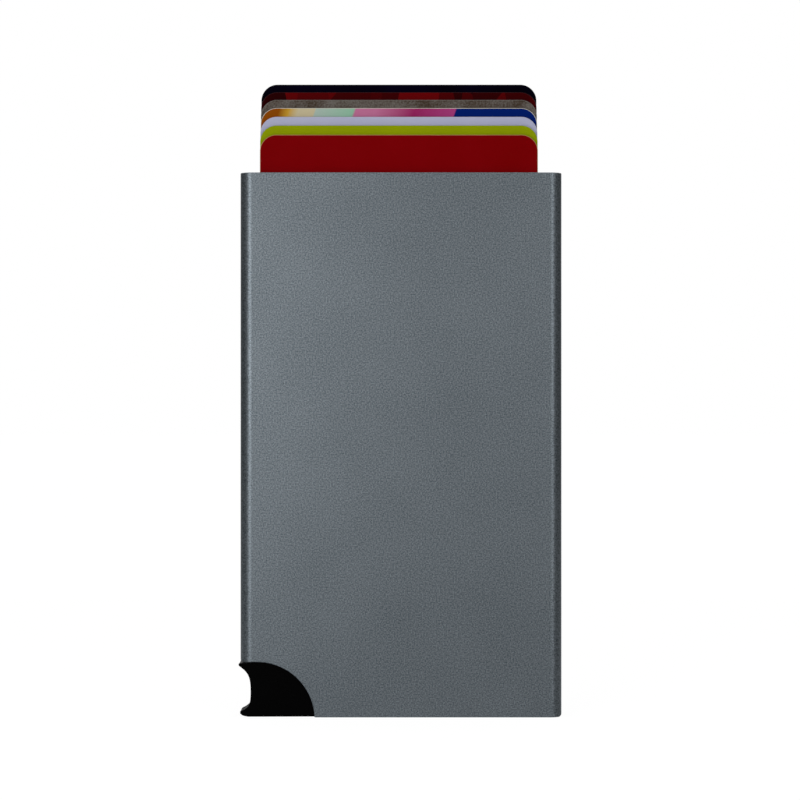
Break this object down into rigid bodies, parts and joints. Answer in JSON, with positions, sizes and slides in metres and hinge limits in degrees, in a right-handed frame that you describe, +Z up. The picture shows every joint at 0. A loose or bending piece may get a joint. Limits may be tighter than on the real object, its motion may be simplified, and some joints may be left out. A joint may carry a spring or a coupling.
{
  "type": "card case",
  "caption": "Slim aluminium card case with a corner thumb lever that lifts a stack of bank cards out of the mouth in a stepped fan.",
  "frame": {"origin": "centre of the case's flat foot, on the surface that it stands on", "axes": "+Z up through the mouth along the case's length, +Y from the front face to the rear face, +X to the right seen from the front, with the lever at the low left"},
  "size_m": [0.0627, 0.0086, 0.1234],
  "materials": {
    "anodised_aluminium": "bead blasted and anodised grey, satin",
    "moulded_nylon": "moulded, fine texture",
    "lever_plastic": "moulded black, low sheen",
    "steel": "drawn",
    "felt": "pressed wool felt",
    "chip_gold": "thin gold plating",
    "red_card": "laminated, satin gloss",
    "lime_card": "laminated, satin gloss",
    "lavender_card": "laminated, satin gloss",
    "multicolour_card": "printed in soft bands of colour, laminated",
    "grey_card": "printed with a fine speckle, laminated",
    "dark_red_card": "printed in dark red blotches, laminated",
    "black_card": "laminated, satin gloss"
  },
  "bodies": {
    "case": {"case_tube": "anodised_aluminium", "end_cap": "moulded_nylon", "pivot_bracket": "moulded_nylon", "pivot_pin": "steel", "return_spring": "steel", "left_rail": "moulded_nylon", "right_rail": "moulded_nylon", "left_felt": "felt", "right_felt": "felt"},
    "lever": {"ejector_lever": "lever_plastic"},
    "red": {"card_red": "red_card", "card_red_chip": "chip_gold"},
    "lime": {"card_lime": "lime_card"},
    "lavender": {"card_lavender": "lavender_card", "card_lavender_chip": "chip_gold"},
    "multicolour": {"card_multicolour": "multicolour_card"},
    "grey": {"card_grey": "grey_card", "card_grey_chip": "chip_gold"},
    "dark_red": {"card_dark_red": "dark_red_card"},
    "black": {"card_black": "black_card", "card_black_chip": "chip_gold"}
  },
  "joints": [
    {"name": "lever_press", "type": "hinge", "parent": "case", "child": "lever", "pos_m": [-0.0273, 0, 0.0142], "axis": [0, -1, 0], "range_deg": [0, 31.76], "stiffness_Nm_per_rad": 0.03, "springref_deg": -20.05, "deforming": ["return_spring"]},
    {"name": "red_slide", "type": "slide", "parent": "case", "child": "red", "axis": [0, 0, 1], "range_m": [-0.0084, 0.0802]},
    {"name": "lime_slide", "type": "slide", "parent": "case", "child": "lime", "axis": [0, 0, 1], "range_m": [-0.0103, 0.0783]},
    {"name": "lavender_slide", "type": "slide", "parent": "case", "child": "lavender", "axis": [0, 0, 1], "range_m": [-0.0121, 0.0765]},
    {"name": "multicolour_slide", "type": "slide", "parent": "case", "child": "multicolour", "axis": [0, 0, 1], "range_m": [-0.0139, 0.0747]},
    {"name": "grey_slide", "type": "slide", "parent": "case", "child": "grey", "axis": [0, 0, 1], "range_m": [-0.0156, 0.073]},
    {"name": "dark_red_slide", "type": "slide", "parent": "case", "child": "dark_red", "axis": [0, 0, 1], "range_m": [-0.0172, 0.0714]},
    {"name": "black_slide", "type": "slide", "parent": "case", "child": "black", "axis": [0, 0, 1], "range_m": [-0.0188, 0.0698]}
  ]
}
